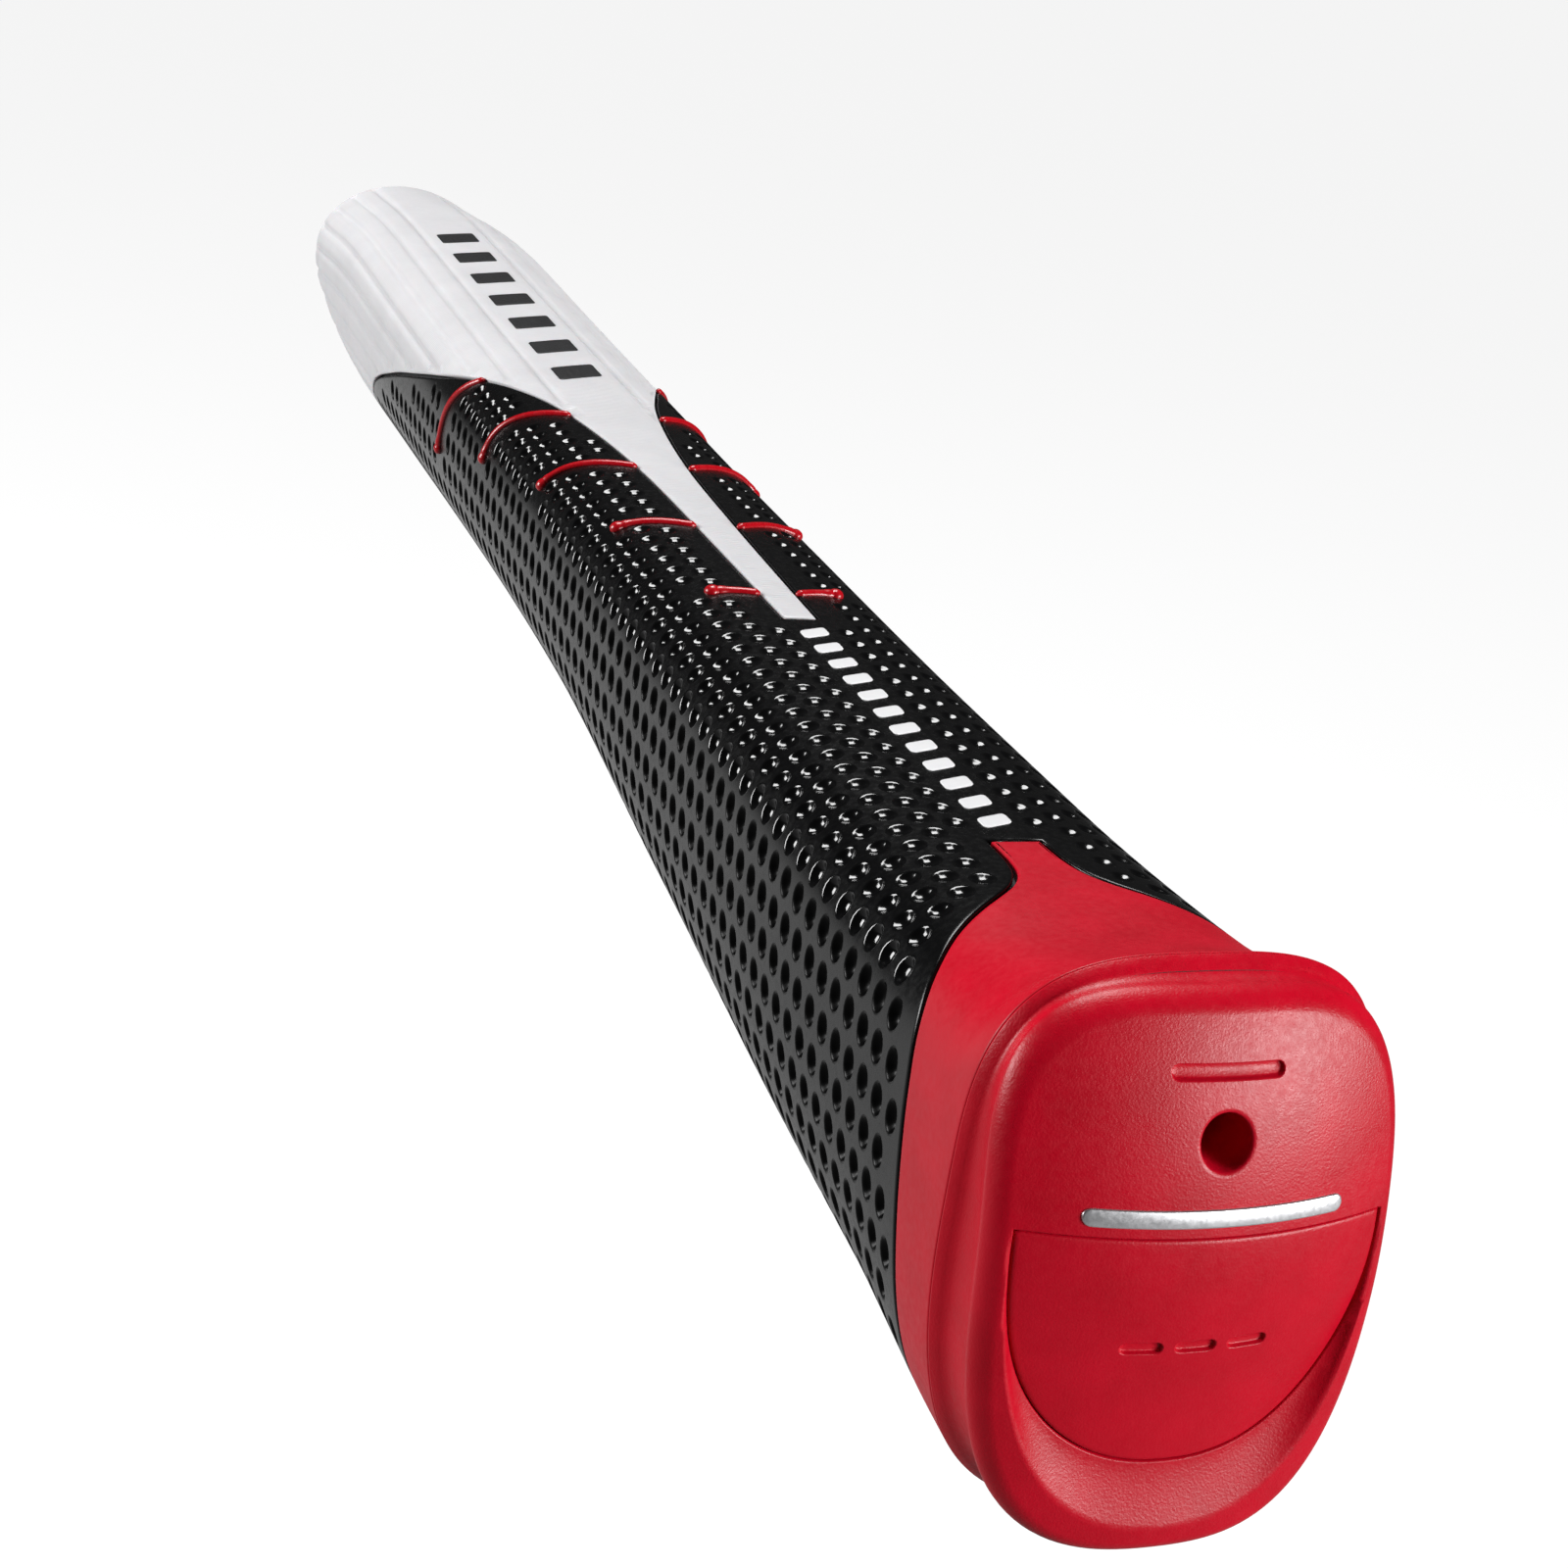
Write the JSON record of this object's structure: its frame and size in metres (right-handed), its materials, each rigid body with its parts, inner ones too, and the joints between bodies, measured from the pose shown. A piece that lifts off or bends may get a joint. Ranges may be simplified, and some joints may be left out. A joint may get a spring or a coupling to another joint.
{
  "type": "putter grip",
  "caption": "Flat-topped putter grip with a deep tapering underside, a dimpled two-tone skin, curved side ribs and a butt cap with a vent hole.",
  "frame": {"origin": "on the shaft bore's axis, at the stop that the shaft's end meets, inside the butt cap", "axes": "+Y along the bore from the butt cap to the mouth, +Z out of the flat top, +X to the right seen from the butt"},
  "size_m": [0.0282, 0.2698, 0.0402],
  "materials": {
    "core_rubber": "matt foamed rubber",
    "black_skin": "glossy polyurethane with punched dimples",
    "white_skin": "satin polyurethane with fine dimple rows",
    "seam": "satin welded seam",
    "cap_red": "fine-grained satin moulded rubber",
    "plate_red": "smooth satin moulded rubber",
    "rib_red": "glossy moulded rubber",
    "silver": "silver paint",
    "white_print": "printed ink",
    "black_print": "printed ink"
  },
  "bodies": {
    "root": {"underlisting": "core_rubber", "mouth_ring": "white_skin", "black_skin": "black_skin", "white_skin": "white_skin", "back_seam": "seam", "cap_skirt": "cap_red", "cap_face": "cap_red", "size_plate": "plate_red", "cap_badge_bar": "silver", "strip_bars": "white_print", "lower_bars": "black_print", "rib_left_1": "rib_red", "rib_left_2": "rib_red", "rib_left_3": "rib_red", "rib_left_4": "rib_red", "rib_left_5": "rib_red", "rib_right_1": "rib_red", "rib_right_2": "rib_red", "rib_right_3": "rib_red", "rib_right_4": "rib_red", "rib_right_5": "rib_red"}
  },
  "joints": []
}
